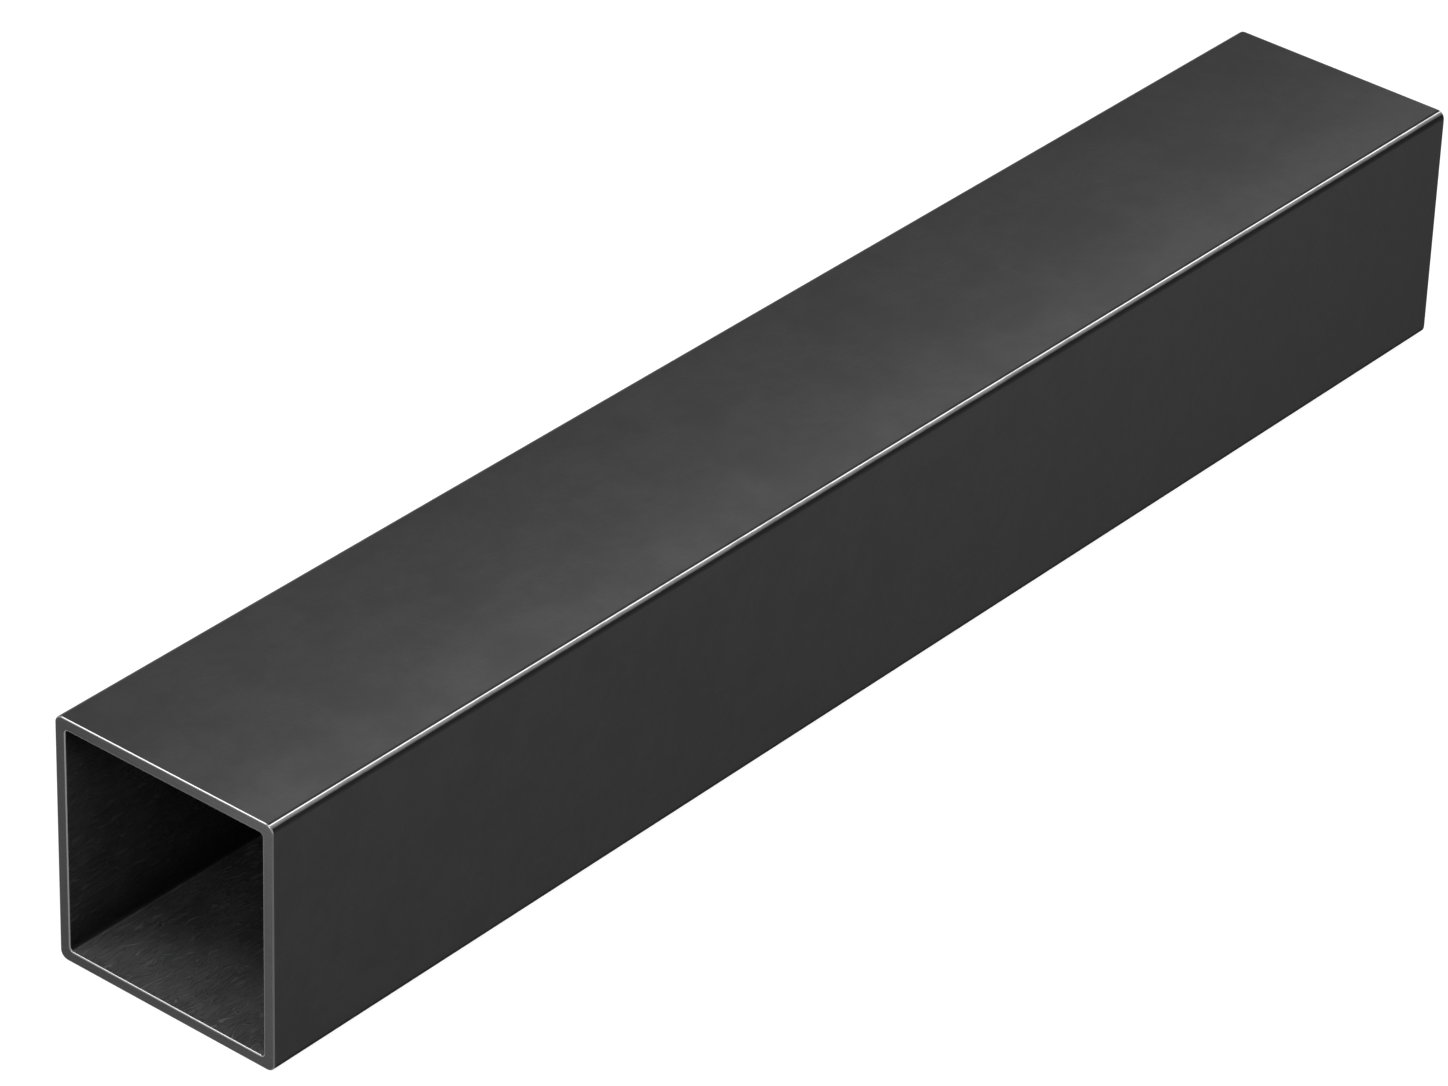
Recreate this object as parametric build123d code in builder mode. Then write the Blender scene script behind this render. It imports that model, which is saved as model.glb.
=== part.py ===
from build123d import *

import os

# A cut length of square steel tube. It is one piece: a hollow square section with rounded
# corners, sawn square at both ends and deburred round the rims. It lies lengthwise along X
# on one of its four faces, and the origin is the middle of that face, with +Z up.
# All sizes are in millimetres.

# The section
side = 75.0  # outside width and height
wall = 3.5  # wall thickness
outside_radius = 2.5  # the four long corners, outside
inside_radius = 1.2  # the four long corners, inside

# The cut
length = 500.0  # from one sawn end to the other
rim_radius = 0.4  # the edges of both sawn ends, outside and inside the wall

# What follows from them
clear_side = side - 2 * wall  # width and height of the hollow
section_plane = Plane.YZ.offset(-length / 2)  # the sawn end on the -X side
section_centre = (0, side / 2)  # half a side above the face that the tube lies on


with BuildPart() as square_tube:
    with BuildSketch(section_plane):
        with Locations(section_centre):
            RectangleRounded(side, side, outside_radius)
            RectangleRounded(clear_side, clear_side, inside_radius, mode=Mode.SUBTRACT)
    extrude(amount=length)

    sawn_ends = square_tube.faces().filter_by(Axis.X)
    fillet(sawn_ends.edges(), rim_radius)


square_tube.part.label = "square_tube"
os.makedirs("parts", exist_ok=True)
export_step(square_tube.part, "parts/square_tube.step")
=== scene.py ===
import math
from types import SimpleNamespace
from typing import NamedTuple

import bpy
from mathutils import Matrix, Vector


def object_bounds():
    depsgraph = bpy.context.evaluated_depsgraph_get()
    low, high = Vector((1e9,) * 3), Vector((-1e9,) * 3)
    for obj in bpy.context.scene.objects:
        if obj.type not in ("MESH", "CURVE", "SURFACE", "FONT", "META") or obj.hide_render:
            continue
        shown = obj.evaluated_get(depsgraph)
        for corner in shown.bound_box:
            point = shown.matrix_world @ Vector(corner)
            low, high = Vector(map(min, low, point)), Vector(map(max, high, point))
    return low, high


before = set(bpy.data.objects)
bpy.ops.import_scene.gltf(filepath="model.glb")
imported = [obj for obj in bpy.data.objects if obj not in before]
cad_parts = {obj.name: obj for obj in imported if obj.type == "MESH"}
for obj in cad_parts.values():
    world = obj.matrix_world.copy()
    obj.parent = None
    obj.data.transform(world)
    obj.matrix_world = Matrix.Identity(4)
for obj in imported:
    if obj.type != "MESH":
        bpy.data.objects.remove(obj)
cad_low, cad_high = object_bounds()

# The tube: its node and side are read from the frame, its wall is the CAD model's
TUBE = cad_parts["square_tube"]
SIDE = cad_high.z - cad_low.z
CENTRE_HEIGHT = SIDE / 2
WALL = 0.0035

# The camera
CAMERA_AZIMUTH = -51.02
CAMERA_ELEVATION = 32.18
CAMERA_ROLL = 2.0
CAMERA_DISTANCE = 1.9527
CAMERA_AIM = Vector((-0.0037, 0.0225, 0.0179))
CAMERA_LENS = 175.03
CAMERA_CLIP = (0.01, 100)

# The studio
WHITE = (1, 1, 1, 1)
BACKDROP_WHITE = 1.0
AMBIENT = 0.20
FLOOR_SIZE = 40.0
FLOOR_HEIGHT = -0.0002
FLOOR_OWN_WHITE = 0.92
FLOOR_SEEN_COLOUR = (0.25, 0.25, 0.25, 1)
FLOOR_BOUNCE_COLOUR = (0.15, 0.15, 0.15, 1)


class Lamp(NamedTuple):
    """A rectangular soft lamp: it lights dull surfaces, is mirrored in glossy ones, or both."""

    name: str
    centre: tuple
    target: tuple
    size: tuple
    radiance: float
    lights: bool
    mirrored: bool


LAMPS = (
    # A long strip over the front edge, mirrored in the worn ridge
    Lamp("key", (0.0, -0.048, 0.175), (0.0, -0.048, 0.0), (0.95, 0.016), 4.5, True, True),
    # A thin strip close to the top, for the soft rise of light towards the front edge
    Lamp("skim", (0.0, -0.032, 0.093), (0.0, -0.032, 0.0), (0.62, 0.006), 2.4, True, False),
    # A low lamp for the back face
    Lamp("rear", (0.0, 0.24, 0.038), (0.0, 0.0, 0.038), (0.46, 0.07), 2.6, True, False),
    # A wide panel in front, for the front face
    Lamp("panel", (-0.18, -0.12, 0.165), (-0.18, -0.12, 0.0), (1.0, 0.20), 1.6, True, False),
    # Two lamps for the shine on the edges of the open end and on its corner
    Lamp("back", (-0.40, 0.35, 0.55), (-0.30, 0.0, 0.04), (0.65, 0.22), 5.0, False, True),
    Lamp("corner", (-0.61, -0.11, 0.40), (-0.25, -0.0375, 0.075), (0.16, 0.16), 8.0, False, True),
    # Almost overhead of the open end, so that light falls off fast along the floor of the hollow
    Lamp("fill", (-0.47, -0.10, 1.10), (-0.25, 0.0, 0.0), (0.5, 0.7), 5.6, True, False),
)
# A lamp whose axis leans along X by more than this has its first side along Y
LEVEL_SIDE_LEAN = 0.5

# Spans of the masks, from none to full. A mask by direction reads a part of the unit normal
ROUNDED_SPAN = (0.999, 0.985)
SAWN_SPAN = (0.85, 0.97)
RIM_SPAN = (0.03, 0.12)
FRONT_SPAN = (-0.05, -0.3)
BACK_SPAN = (0.08, 0.3)
FLOOR_SPAN = (0.6, 0.75)
SIDEWAYS_SPAN = (0.3, 0.7)
TEXTURE_SPAN = (0.3, 0.7)

# The coat outside: soft clouds, a fine grain and faint curled wrinkles
COAT_DARK = (0.0305, 0.0305, 0.0308, 1)
COAT_LIGHT = (0.0372, 0.0372, 0.0375, 1)
COAT_SHINE = 0.035
COAT_ROUGHNESS = (0.42, 0.50)
CLOUD_SCALE = 60
CLOUD_ROUGHNESS = 0.74
CLOUD_SPAN = (0.35, 0.65)
GRAIN_SCALE = 1800
GRAIN_HEIGHT = 0.000006
EVEN_GRAIN = 0.5
CURL_STRETCH = (330, 560, 560)
CURL_SHARE = 0.06
OUTER_HAIR_SHARE = 0.06

# The hollow: dull, dusty and painted lighter where it faces up, with painted shade along its
# corners, and hair-like wrinkles
INSIDE_DARK = (0.022, 0.022, 0.022, 1)
INSIDE_LIGHT = (0.055, 0.055, 0.055, 1)
INSIDE_ROUGHNESS = 0.55
DUST_AND_PAINTED_LIGHT_DARK = (0.042, 0.042, 0.042, 1)
DUST_AND_PAINTED_LIGHT_LIGHT = (0.115, 0.115, 0.115, 1)
CREASE_PAINTED_SHADE = (0.012, 0.012, 0.012, 1)
CREASE_REACH = (0.016, 0.0)
CLOUD_IN_TONE = 0.3
WRINKLES_IN_TONE = 0.5
STREAKS_IN_TONE = 0.15
STREAK_STRETCH = (40, 900, 900)
HAIR_STRETCH = 0.42
HAIR_SCALE = 165.0
HAIR_DISTORTION = 7.0
HAIR_DETAIL_SCALE = 2.0
HAIR_SPAN = (0.8, 1.0)
HAIR_PATCH_SCALE = 260
HAIR_PATCH_SPAN = (0.40, 0.50)
STROKE_STRETCH = (220, 700, 700)
STROKE_DISTORTION = 0.8
STROKE_SPAN = (0.05, 0.0)
STROKE_SHARE = 0.8
STROKE_PATCH_SCALE = 210
STROKE_PATCH_SPAN = (0.38, 0.48)
WRINKLE_HEIGHT = 0.00034

# The sawn ends: painted lighter than the coat, for the light they catch, with saw marks
SAWN_PAINTED_LIT_DARK = (0.106, 0.106, 0.106, 1)
SAWN_PAINTED_LIT_LIGHT = (0.127, 0.127, 0.127, 1)
SAW_STRETCH = (60, 60, 2400)
SAW_HEIGHT = 0.000006

# The edges: worn steel and painted glint, shade and light. The long ones are placed by how far
# the rounding has turned away from up
EDGE_STEEL_AND_GLINT = (0.26, 0.26, 0.26, 1)
EDGE_DULL = (0.09, 0.09, 0.09, 1)
EDGE_SHADE = (0.009, 0.009, 0.009, 1)
EDGE_ROUGHNESS = 0.09
RIM_ROUGHNESS = 0.24
UNWORN_ROUGHNESS = 1.0
WEAR_AND_GLINT_UNEVEN = 0.04
WEAR_AND_GLINT_TOP_SPAN = (0.943, 0.930)
WEAR_AND_GLINT_BRIGHT_SPAN = (0.855, 0.885)
WEAR_AND_GLINT_DULL_SPAN = (0.62, 0.86)
WEAR_AND_GLINT_DULL_SHARE = 0.62
SHADE_TOP_SPAN = (0.78, 0.6)
SHADE_BOTTOM_SPAN = (0.0, 0.5)
LINE_FRONT_SPAN = (0.00160, 0.00170)
LINE_REAR_SPAN = (0.00230, 0.00200)
LINE_UP_SPAN = (0.86, 0.92)
LINE_DARKNESS = 0.72
BACK_EDGE_PAINTED_LIGHT_SPAN = (0.3, 0.6)
BACK_EDGE_PAINTED_LIGHT_SHARE = 0.5
RIM_UP_SPAN = (0.0, 0.4)
RIM_ACROSS_SPAN = (-0.3, 0.3)
RIM_ACROSS_SHARE = (0.6, 1.0)

# The Mix node's first, second and result sockets, for each kind of data
MIX_SOCKETS = {"RGBA": (6, 7, 2), "FLOAT": (2, 3, 0)}


def camera_axes(azimuth, elevation):
    """The directions right, up and back of a camera that looks at the tube from there."""
    a = math.radians(azimuth)
    e = math.radians(elevation)
    back = Vector((math.sin(a) * math.cos(e), -math.cos(a) * math.cos(e), math.sin(e)))
    right = Vector((math.cos(a), math.sin(a), 0))
    return right, back.cross(right), back


def make_camera():
    right, up, back = camera_axes(CAMERA_AZIMUTH, CAMERA_ELEVATION)
    turn = Matrix((right, up, back)).transposed()
    roll = Matrix.Rotation(math.radians(CAMERA_ROLL), 3, "Z")
    data = bpy.data.cameras.new("camera")
    data.lens = CAMERA_LENS
    data.clip_start, data.clip_end = CAMERA_CLIP
    camera = bpy.data.objects.new("camera", data)
    camera.matrix_world = (turn @ roll).to_4x4()
    camera.location = CAMERA_AIM + back * CAMERA_DISTANCE
    bpy.context.scene.collection.objects.link(camera)
    bpy.context.scene.camera = camera


class Nodes:
    """Adds nodes to a material or world and links their sockets."""

    def __init__(self, owner):
        owner.use_nodes = True
        self.tree = owner.node_tree
        self.tree.nodes.clear()

    def add(self, kind, **settings):
        node = self.tree.nodes.new(kind)
        for name, value in settings.items():
            setattr(node, name, value)
        return node

    def join(self, source, target):
        self.tree.links.new(source, target)

    def put(self, socket, value):
        if isinstance(value, bpy.types.NodeSocket):
            self.join(value, socket)
        else:
            socket.default_value = value

    def math(self, operation, *values):
        node = self.add("ShaderNodeMath", operation=operation)
        for socket, value in zip(node.inputs, values):
            self.put(socket, value)
        return node.outputs[0]

    def chain(self, operation, values):
        result, *others = values
        for value in others:
            result = self.math(operation, result, value)
        return result

    def product(self, *values):
        return self.chain("MULTIPLY", values)

    def total(self, *values):
        return self.chain("ADD", values)

    def largest(self, *values):
        return self.chain("MAXIMUM", values)

    def vector(self, operation, *values):
        node = self.add("ShaderNodeVectorMath", operation=operation)
        for socket, value in zip(node.inputs, values):
            self.put(socket, value)
        return node.outputs[0]

    def split(self, vector):
        node = self.add("ShaderNodeSeparateXYZ")
        self.put(node.inputs[0], vector)
        return tuple(node.outputs)

    def ramp(self, value, low, high, to_low=0.0, to_high=1.0, smooth=True):
        node = self.add("ShaderNodeMapRange")
        node.interpolation_type = "SMOOTHSTEP" if smooth else "LINEAR"
        self.put(node.inputs["Value"], value)
        node.inputs["From Min"].default_value = low
        node.inputs["From Max"].default_value = high
        node.inputs["To Min"].default_value = to_low
        node.inputs["To Max"].default_value = to_high
        return node.outputs["Result"]

    def noise(self, vector, scale=1.0, detail=2.0, roughness=0.5, distortion=0.0):
        node = self.add("ShaderNodeTexNoise")
        self.put(node.inputs["Vector"], vector)
        node.inputs["Scale"].default_value = scale
        node.inputs["Detail"].default_value = detail
        node.inputs["Roughness"].default_value = roughness
        node.inputs["Distortion"].default_value = distortion
        return node.outputs["Fac"]

    def stretched_noise(self, vector, stretch, **settings):
        return self.noise(self.vector("MULTIPLY", vector, stretch), **settings)

    def mix(self, kind, factor, first, second):
        node = self.add("ShaderNodeMix", data_type=kind)
        first_socket, second_socket, result = MIX_SOCKETS[kind]
        self.put(node.inputs["Factor"], factor)
        self.put(node.inputs[first_socket], first)
        self.put(node.inputs[second_socket], second)
        return node.outputs[result]

    def mix_colour(self, factor, first, second):
        return self.mix("RGBA", factor, first, second)

    def mix_value(self, factor, first, second):
        return self.mix("FLOAT", factor, first, second)

    def bump(self, height, distance, normal=None):
        node = self.add("ShaderNodeBump")
        node.inputs["Strength"].default_value = 1.0
        node.inputs["Distance"].default_value = distance
        self.put(node.inputs["Height"], height)
        if normal is not None:
            self.join(normal, node.inputs["Normal"])
        return node.outputs["Normal"]

    def shader(self, kind, **inputs):
        """A shader node with plain values on its own sockets, named as in Blender."""
        node = self.add(kind)
        for name, value in inputs.items():
            node.inputs[name].default_value = value
        return node.outputs[0]

    def mix_shaders(self, factor, first, second):
        node = self.add("ShaderNodeMixShader")
        for socket, source in zip(node.inputs, (factor, first, second)):
            self.join(source, socket)
        return node.outputs[0]


def seen_rays(n):
    """1 for rays that show a thing as it looks: from the camera, in a gloss or through glass."""
    rays = n.add("ShaderNodeLightPath").outputs
    return n.largest(rays["Is Camera Ray"], rays["Is Glossy Ray"], rays["Is Transmission Ray"])


def make_world():
    """White where it is seen, and a low even light on the object."""
    world = bpy.data.worlds.new("studio")
    bpy.context.scene.world = world
    n = Nodes(world)
    lit = n.shader("ShaderNodeBackground", Color=WHITE, Strength=AMBIENT)
    seen = n.shader("ShaderNodeBackground", Color=WHITE, Strength=BACKDROP_WHITE)
    output = n.add("ShaderNodeOutputWorld")
    n.join(n.mix_shaders(seen_rays(n), lit, seen), output.inputs["Surface"])


def floor_material():
    """White where it is seen, with the object's shadow, and dull for the light it sends back."""
    material = bpy.data.materials.new("pale_floor")
    n = Nodes(material)
    bounce = n.shader("ShaderNodeBsdfDiffuse", Color=FLOOR_BOUNCE_COLOUR)
    seen = n.add("ShaderNodeAddShader")
    n.join(n.shader("ShaderNodeBsdfDiffuse", Color=FLOOR_SEEN_COLOUR), seen.inputs[0])
    n.join(n.shader("ShaderNodeEmission", Color=WHITE, Strength=FLOOR_OWN_WHITE), seen.inputs[1])
    output = n.add("ShaderNodeOutputMaterial")
    n.join(n.mix_shaders(seen_rays(n), bounce, seen.outputs[0]), output.inputs["Surface"])
    return material


def make_floor():
    half = FLOOR_SIZE / 2
    mesh = bpy.data.meshes.new("floor")
    corners = [(-half, -half, 0), (half, -half, 0), (half, half, 0), (-half, half, 0)]
    mesh.from_pydata(corners, [], [(0, 1, 2, 3)])
    floor = bpy.data.objects.new("floor", mesh)
    floor.location.z = FLOOR_HEIGHT
    floor.data.materials.append(floor_material())
    bpy.context.scene.collection.objects.link(floor)


def make_softbox(lamp):
    """Turns the lamp to its target, with its first side level."""
    data = bpy.data.lights.new(lamp.name, "AREA")
    data.shape = "RECTANGLE"
    data.size, data.size_y = lamp.size
    data.energy = lamp.radiance * math.pi * data.size * data.size_y
    away = (Vector(lamp.centre) - Vector(lamp.target)).normalized()
    level = Vector((1, 0, 0)) if abs(away.x) < LEVEL_SIDE_LEAN else Vector((0, 1, 0))
    side = away.cross(level).normalized()
    level = side.cross(away)
    turn = Matrix((level, side, away)).transposed().to_4x4()
    softbox = bpy.data.objects.new(lamp.name, data)
    softbox.matrix_world = Matrix.Translation(lamp.centre) @ turn
    softbox.visible_camera = False
    softbox.visible_diffuse = lamp.lights
    softbox.visible_glossy = lamp.mirrored
    bpy.context.scene.collection.objects.link(softbox)


def tube_surface(n):
    """Where on the tube a point is, which way it faces, and masks for its kinds of surface."""
    coordinates = n.add("ShaderNodeTexCoord")
    here = coordinates.outputs["Object"]
    facing = coordinates.outputs["Normal"]
    _, y, z = n.split(here)
    _, facing_y, facing_z = n.split(facing)
    end_on, across, upright = n.split(n.vector("ABSOLUTE", facing))
    off_centre = n.math("ABSOLUTE", n.math("SUBTRACT", z, CENTRE_HEIGHT))
    ring = n.largest(n.math("ABSOLUTE", y), off_centre)
    inside = n.math("LESS_THAN", ring, SIDE / 2 - WALL / 2)
    outside = n.math("SUBTRACT", 1.0, inside)
    rounded = n.ramp(n.largest(end_on, across, upright), *ROUNDED_SPAN)
    return SimpleNamespace(
        here=here,
        y=y,
        facing_y=facing_y,
        facing_z=facing_z,
        across=across,
        off_centre=off_centre,
        inside=inside,
        outside=outside,
        rounded=rounded,
        sawn=n.ramp(end_on, *SAWN_SPAN),
        rim=n.product(rounded, n.ramp(end_on, *RIM_SPAN)),
        long_edge=n.product(rounded, n.ramp(end_on, *reversed(RIM_SPAN)), outside),
        front=n.ramp(facing_y, *FRONT_SPAN),
    )


def strokes(n, here, stretch):
    """Short curved strokes: thin level lines of a stretched noise, broken up by a second one."""
    drawn = n.stretched_noise(here, stretch, detail=0, distortion=STROKE_DISTORTION)
    level = n.math("ABSOLUTE", n.math("SUBTRACT", drawn, 0.5))
    patches = n.ramp(n.noise(here, STROKE_PATCH_SCALE, detail=1), *STROKE_PATCH_SPAN)
    return n.product(n.ramp(level, *STROKE_SPAN), patches)


def hairlines(n, here):
    """Thin wavy lines of even width that run along the tube, broken into short pieces."""
    x, y, z = n.split(here)
    spread = n.add("ShaderNodeCombineXYZ")
    n.put(spread.inputs["X"], n.product(x, HAIR_STRETCH))
    n.put(spread.inputs["Y"], n.total(y, z))
    n.put(spread.inputs["Z"], n.product(n.math("SUBTRACT", y, z), HAIR_STRETCH))
    wave = n.add("ShaderNodeTexWave", wave_type="BANDS", bands_direction="Y", wave_profile="SIN")
    n.join(spread.outputs[0], wave.inputs["Vector"])
    wave.inputs["Scale"].default_value = HAIR_SCALE
    wave.inputs["Distortion"].default_value = HAIR_DISTORTION
    wave.inputs["Detail"].default_value = 1.0
    wave.inputs["Detail Scale"].default_value = HAIR_DETAIL_SCALE
    wave.inputs["Detail Roughness"].default_value = 0.5
    patches = n.ramp(n.noise(here, HAIR_PATCH_SCALE, detail=1), *HAIR_PATCH_SPAN)
    return n.product(n.ramp(wave.outputs["Fac"], *HAIR_SPAN), patches)


def surface_patterns(n, here):
    """The patterns that colour, gloss and relief share."""
    hairs = hairlines(n, here)
    clouds = n.noise(here, CLOUD_SCALE, detail=5, roughness=CLOUD_ROUGHNESS)
    return SimpleNamespace(
        cloud=n.ramp(clouds, *CLOUD_SPAN),
        hairs=hairs,
        wrinkles=n.largest(hairs, n.product(strokes(n, here, STROKE_STRETCH), STROKE_SHARE)),
        saw_marks=n.ramp(n.stretched_noise(here, SAW_STRETCH), *TEXTURE_SPAN),
    )


def inside_colour(n, at, pattern):
    streaks = n.ramp(n.stretched_noise(at.here, STREAK_STRETCH), *TEXTURE_SPAN)
    tone = n.total(
        n.product(pattern.cloud, CLOUD_IN_TONE),
        n.product(pattern.wrinkles, WRINKLES_IN_TONE),
        n.product(streaks, STREAKS_IN_TONE),
    )
    bare = n.mix_colour(tone, INSIDE_DARK, INSIDE_LIGHT)
    # Dust and painted light: the faces of the hollow that face up are lighter
    dust_and_painted_light = n.mix_colour(tone, DUST_AND_PAINTED_LIGHT_DARK, DUST_AND_PAINTED_LIGHT_LIGHT)
    colour = n.mix_colour(n.ramp(at.facing_z, *FLOOR_SPAN), bare, dust_and_painted_light)
    # Painted shade: the side walls of the hollow darken towards their corners
    from_corner = n.math("SUBTRACT", SIDE / 2 - WALL, at.off_centre)
    crease = n.product(n.ramp(from_corner, *CREASE_REACH), n.ramp(at.across, *SIDEWAYS_SPAN))
    return n.mix_colour(crease, colour, CREASE_PAINTED_SHADE)


def front_wear_and_glint(n, at, cloud):
    """Worn steel and painted glint on the upper front edge: bright along its upper half, where
    the lamp is mirrored, duller below.
    """
    uneven = n.product(n.math("SUBTRACT", cloud, 0.5), WEAR_AND_GLINT_UNEVEN)
    height = n.total(at.facing_z, uneven)
    bright = n.ramp(height, *WEAR_AND_GLINT_BRIGHT_SPAN)
    dull = n.product(n.ramp(height, *WEAR_AND_GLINT_DULL_SPAN, smooth=False), WEAR_AND_GLINT_DULL_SHARE)
    below_line = n.ramp(at.facing_z, *WEAR_AND_GLINT_TOP_SPAN)
    return n.product(n.largest(bright, dull), below_line, at.long_edge, at.front)


def back_edge_painted_light(n, at):
    """Painted light on the upper back edge: partly a lighter, dull steel."""
    worn = n.product(n.ramp(at.facing_y, *BACK_SPAN), n.ramp(at.facing_z, *BACK_EDGE_PAINTED_LIGHT_SPAN))
    return n.product(worn, at.long_edge, BACK_EDGE_PAINTED_LIGHT_SHARE)


def front_shade(n, at):
    """Painted shade on both sides of the bright front edge: below it, and in a thin line above
    it.
    """
    below = n.product(
        n.ramp(at.facing_z, *SHADE_TOP_SPAN),
        n.ramp(at.facing_z, *SHADE_BOTTOM_SPAN),
        at.long_edge,
        at.front,
    )
    from_front = n.total(at.y, SIDE / 2)
    line = n.product(
        n.ramp(from_front, *LINE_FRONT_SPAN),
        n.ramp(from_front, *LINE_REAR_SPAN),
        n.ramp(at.facing_z, *LINE_UP_SPAN),
        LINE_DARKNESS,
        at.outside,
    )
    return n.largest(below, line)


def rim_colour(n, at):
    """The broken edges of a sawn end, worn steel with a painted glint: brightest where they face
    up, and around the hollow.
    """
    around_hollow = n.ramp(at.facing_y, *RIM_ACROSS_SPAN, *RIM_ACROSS_SHARE)
    bright = n.largest(n.product(at.inside, around_hollow), n.ramp(at.facing_z, *RIM_UP_SPAN))
    return n.mix_colour(bright, EDGE_DULL, EDGE_STEEL_AND_GLINT)


def surface_colour(n, at, pattern, worn_and_glinting_front, painted_light_back_edge):
    coat = n.mix_colour(pattern.cloud, COAT_DARK, COAT_LIGHT)
    # Painted light: the sawn ends are lighter than the coat
    sawn = n.mix_colour(pattern.saw_marks, SAWN_PAINTED_LIT_DARK, SAWN_PAINTED_LIT_LIGHT)
    colour = n.mix_colour(at.inside, coat, inside_colour(n, at, pattern))
    colour = n.mix_colour(at.sawn, colour, sawn)
    # Painted shade beside the front edge
    colour = n.mix_colour(front_shade(n, at), colour, EDGE_SHADE)
    # Painted light on the upper back edge
    colour = n.mix_colour(painted_light_back_edge, colour, EDGE_DULL)
    # Worn steel and painted glint along the upper front edge
    colour = n.mix_colour(worn_and_glinting_front, colour, EDGE_STEEL_AND_GLINT)
    # Worn steel and painted glint on the broken edges of the sawn ends
    return n.mix_colour(at.rim, colour, rim_colour(n, at))


def surface_roughness(n, at, pattern, worn_and_glinting_front, painted_light_back_edge):
    rough = n.mix_value(pattern.cloud, *COAT_ROUGHNESS)
    rough = n.mix_value(at.inside, rough, INSIDE_ROUGHNESS)
    rough = n.mix_value(at.long_edge, rough, UNWORN_ROUGHNESS)
    rough = n.mix_value(painted_light_back_edge, rough, RIM_ROUGHNESS)
    rough = n.mix_value(worn_and_glinting_front, rough, EDGE_ROUGHNESS)
    return n.mix_value(at.rim, rough, RIM_ROUGHNESS)


def surface_relief(n, at, pattern):
    """Grain everywhere but on the edges, wrinkles on the flat faces, saw marks on the ends."""
    grain = n.ramp(n.noise(at.here, GRAIN_SCALE, detail=2), *TEXTURE_SPAN)
    curls = n.largest(
        n.product(strokes(n, at.here, CURL_STRETCH), CURL_SHARE),
        n.product(pattern.hairs, OUTER_HAIR_SHARE),
    )
    creased = n.mix_value(at.inside, n.product(curls, pattern.cloud), pattern.wrinkles)
    creased = n.mix_value(n.largest(at.rounded, at.sawn), creased, 0.0)
    relief = n.bump(n.mix_value(at.rounded, grain, EVEN_GRAIN), GRAIN_HEIGHT)
    relief = n.bump(creased, WRINKLE_HEIGHT, normal=relief)
    return n.bump(n.product(pattern.saw_marks, at.sawn), SAW_HEIGHT, normal=relief)


def coated_steel():
    material = bpy.data.materials.new("coated_steel")
    n = Nodes(material)
    at = tube_surface(n)
    pattern = surface_patterns(n, at.here)
    worn_and_glinting_front = front_wear_and_glint(n, at, pattern.cloud)
    painted_light_back_edge = back_edge_painted_light(n, at)

    shader = n.add("ShaderNodeBsdfPrincipled")
    sockets = shader.inputs
    n.join(surface_colour(n, at, pattern, worn_and_glinting_front, painted_light_back_edge), sockets["Base Color"])
    n.join(surface_roughness(n, at, pattern, worn_and_glinting_front, painted_light_back_edge), sockets["Roughness"])
    n.join(n.largest(worn_and_glinting_front, at.rim, painted_light_back_edge), sockets["Metallic"])
    n.join(surface_relief(n, at, pattern), sockets["Normal"])
    sockets["Specular IOR Level"].default_value = COAT_SHINE
    output = n.add("ShaderNodeOutputMaterial")
    n.join(shader.outputs["BSDF"], output.inputs["Surface"])
    return material


def dress_tube():
    material = coated_steel()
    for slot in TUBE.material_slots:
        slot.material = material


bpy.context.scene.view_settings.view_transform = "Standard"
make_camera()
make_world()
make_floor()
for lamp in LAMPS:
    make_softbox(lamp)
dress_tube()
